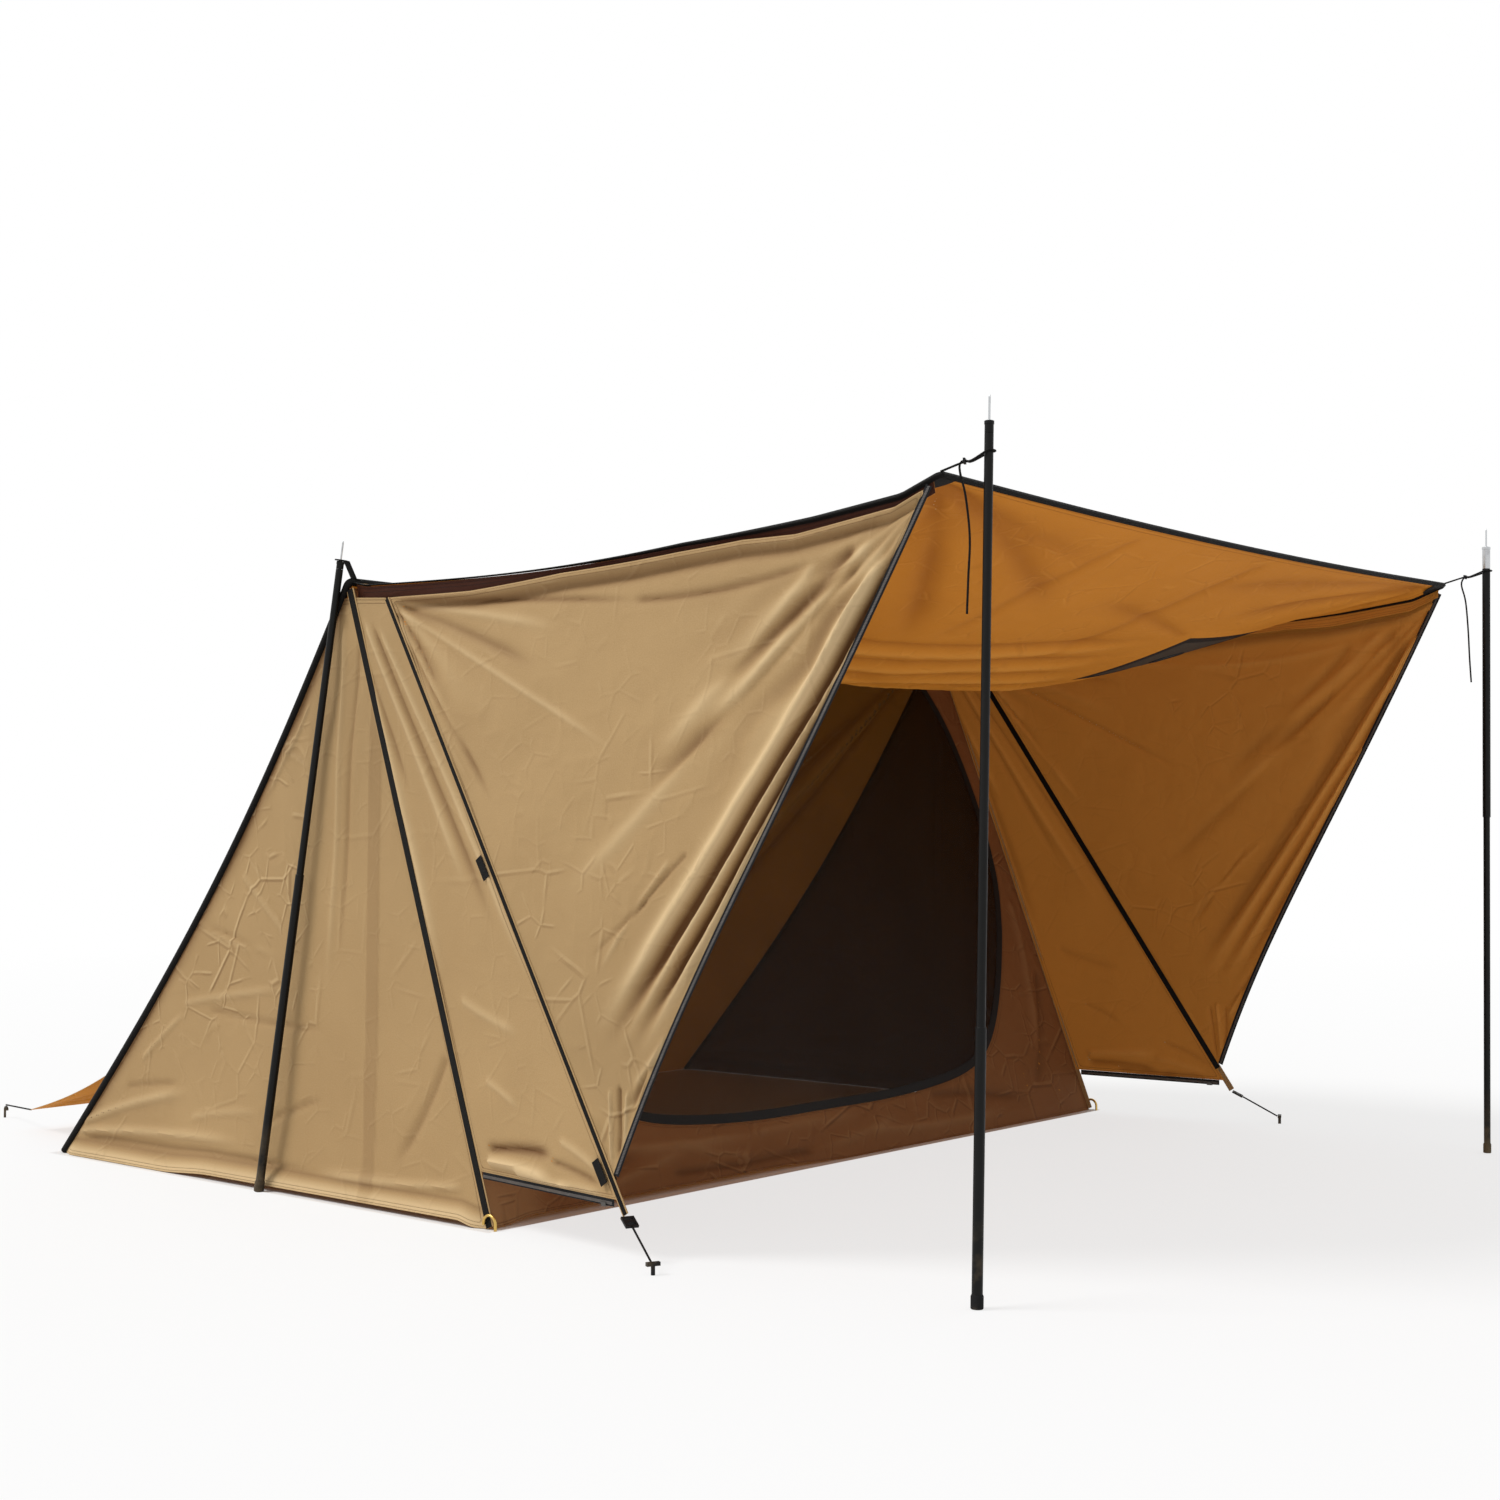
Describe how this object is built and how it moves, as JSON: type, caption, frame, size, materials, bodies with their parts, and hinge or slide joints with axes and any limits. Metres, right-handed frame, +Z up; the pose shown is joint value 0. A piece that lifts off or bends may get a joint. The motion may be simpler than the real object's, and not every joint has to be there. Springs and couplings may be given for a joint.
{
  "type": "hot tent",
  "caption": "Ridge tent of woven cloth for use with a stove, pitched on outside poles, with its front roof raised as an awning over a mesh door and side wings.",
  "frame": {"origin": "centre of the ground rectangle that the tent and its poles and pegs cover", "axes": "+Z up, -Y towards the porch, +X to the right along the ridge as seen from the ridge's front"},
  "size_m": [2.5254, 3.3989, 1.545],
  "materials": {
    "khaki_cloth": "woven cotton blend, matt",
    "roof_cloth": "woven cotton blend that daylight shines through",
    "wall_cloth": "woven cotton blend in shade, matt",
    "eave_cloth": "matt hem cloth",
    "black_webbing": "polyester webbing",
    "mesh": "fine mesh with a taped edge",
    "zip_tape": "zip tape with coil teeth",
    "heat_cloth": "coated glass cloth",
    "pole_tube": "satin black",
    "bare_metal": "bare",
    "brass": "gold plated",
    "cord": "braided cord",
    "black_plastic": "moulded"
  },
  "bodies": {
    "tent": {"seam_piping": "black_webbing", "rear_wall": "khaki_cloth", "end_wall_left": "khaki_cloth", "end_wall_right": "khaki_cloth", "front_wall": "wall_cloth", "front_seam_strap_left": "black_webbing", "front_seam_strap_right": "black_webbing", "wing_left": "khaki_cloth", "wing_right": "khaki_cloth", "gore_left": "khaki_cloth", "gore_right": "khaki_cloth", "wing_zipper_left": "zip_tape", "wing_zipper_right": "zip_tape", "gore_zipper_left": "zip_tape", "gore_zipper_right": "zip_tape", "wing_strap_left": "black_webbing", "wing_strap_right": "black_webbing", "apex_tab_left": "black_webbing", "apex_tab_right": "black_webbing", "wing_buckle_left": "black_plastic", "wing_buckle_right": "black_plastic", "wing_cord_left": "cord", "wing_cord_right": "cord", "wing_stake_left": "black_plastic", "wing_stake_right": "black_plastic", "corner_peg_left": "brass", "corner_peg_right": "brass", "apron_peg_left": "pole_tube", "apron_peg_right": "pole_tube", "apron_cord_left": "cord", "apron_cord_right": "cord", "corner_cord_left": "cord", "corner_cord_right": "cord", "cord_runner_left": "black_plastic", "cord_runner_right": "black_plastic", "pole_lower_front_left": "pole_tube", "pole_lower_front_right": "pole_tube", "pole_lower_ridge_left": "pole_tube", "pole_lower_ridge_right": "pole_tube"},
    "awning": {"awning": "roof_cloth", "awning_binding": "black_webbing", "eave_left": "eave_cloth", "eave_right": "eave_cloth", "jack_border": "black_webbing", "jack_patch": "heat_cloth"},
    "jack_flap": {"jack_flap": "khaki_cloth"},
    "mesh_door": {"mesh_door": "mesh"},
    "rear_apron": {"rear_apron": "khaki_cloth"},
    "front_pole_top_left": {"pole_upper_front_left": "pole_tube", "pole_tip_front_left": "bare_metal"},
    "front_pole_top_right": {"pole_upper_front_right": "pole_tube", "pole_tip_front_right": "bare_metal"},
    "ridge_pole_top_left": {"pole_upper_ridge_left": "pole_tube", "pole_tip_ridge_left": "bare_metal"},
    "ridge_pole_top_right": {"pole_upper_ridge_right": "pole_tube", "pole_tip_ridge_right": "bare_metal"},
    "zipper_slider_left": {"zipper_slider_left": "bare_metal"},
    "zipper_slider_right": {"zipper_slider_right": "bare_metal"}
  },
  "joints": [
    {"name": "awning_lower", "type": "hinge", "parent": "tent", "child": "awning", "pos_m": [0, -0.01755, 1.341], "axis": [1, 0, 0], "range_deg": [0, 34]},
    {"name": "jack_flap_close", "type": "hinge", "parent": "awning", "child": "jack_flap", "pos_m": [0.67, -0.87255, 1.21007], "axis": [0.9822, 0, 0.1876], "range_deg": [0, 150]},
    {"name": "mesh_door_swing", "type": "hinge", "parent": "tent", "child": "mesh_door", "pos_m": [0, -0.03455, 1.29541], "axis": [1, 0, 0], "range_deg": [0, 40]},
    {"name": "rear_apron_lift", "type": "hinge", "parent": "tent", "child": "rear_apron", "pos_m": [0, 0.8052, 0.23649], "axis": [1, 0, 0], "range_deg": [0, 100]},
    {"name": "front_pole_left_length", "type": "slide", "parent": "tent", "child": "front_pole_top_left", "axis": [0.0207, -0.0073, 0.9998], "range_m": [-0.32, 0]},
    {"name": "front_pole_right_length", "type": "slide", "parent": "tent", "child": "front_pole_top_right", "axis": [0.0037, -0.0091, 1], "range_m": [-0.34, 0]},
    {"name": "ridge_pole_left_length", "type": "slide", "parent": "tent", "child": "ridge_pole_top_left", "axis": [0.0371, -0.1455, 0.9887], "range_m": [-0.34, 0]},
    {"name": "ridge_pole_right_length", "type": "slide", "parent": "tent", "child": "ridge_pole_top_right", "axis": [-0.0371, -0.1455, 0.9887], "range_m": [-0.34, 0]},
    {"name": "gore_zip_left", "type": "slide", "parent": "tent", "child": "zipper_slider_left", "axis": [0.1138, 0.9935, 0.0046], "range_m": [0, 0.34]},
    {"name": "gore_zip_right", "type": "slide", "parent": "tent", "child": "zipper_slider_right", "axis": [-0.1138, 0.9935, 0.0046], "range_m": [0, 0.34]}
  ]
}
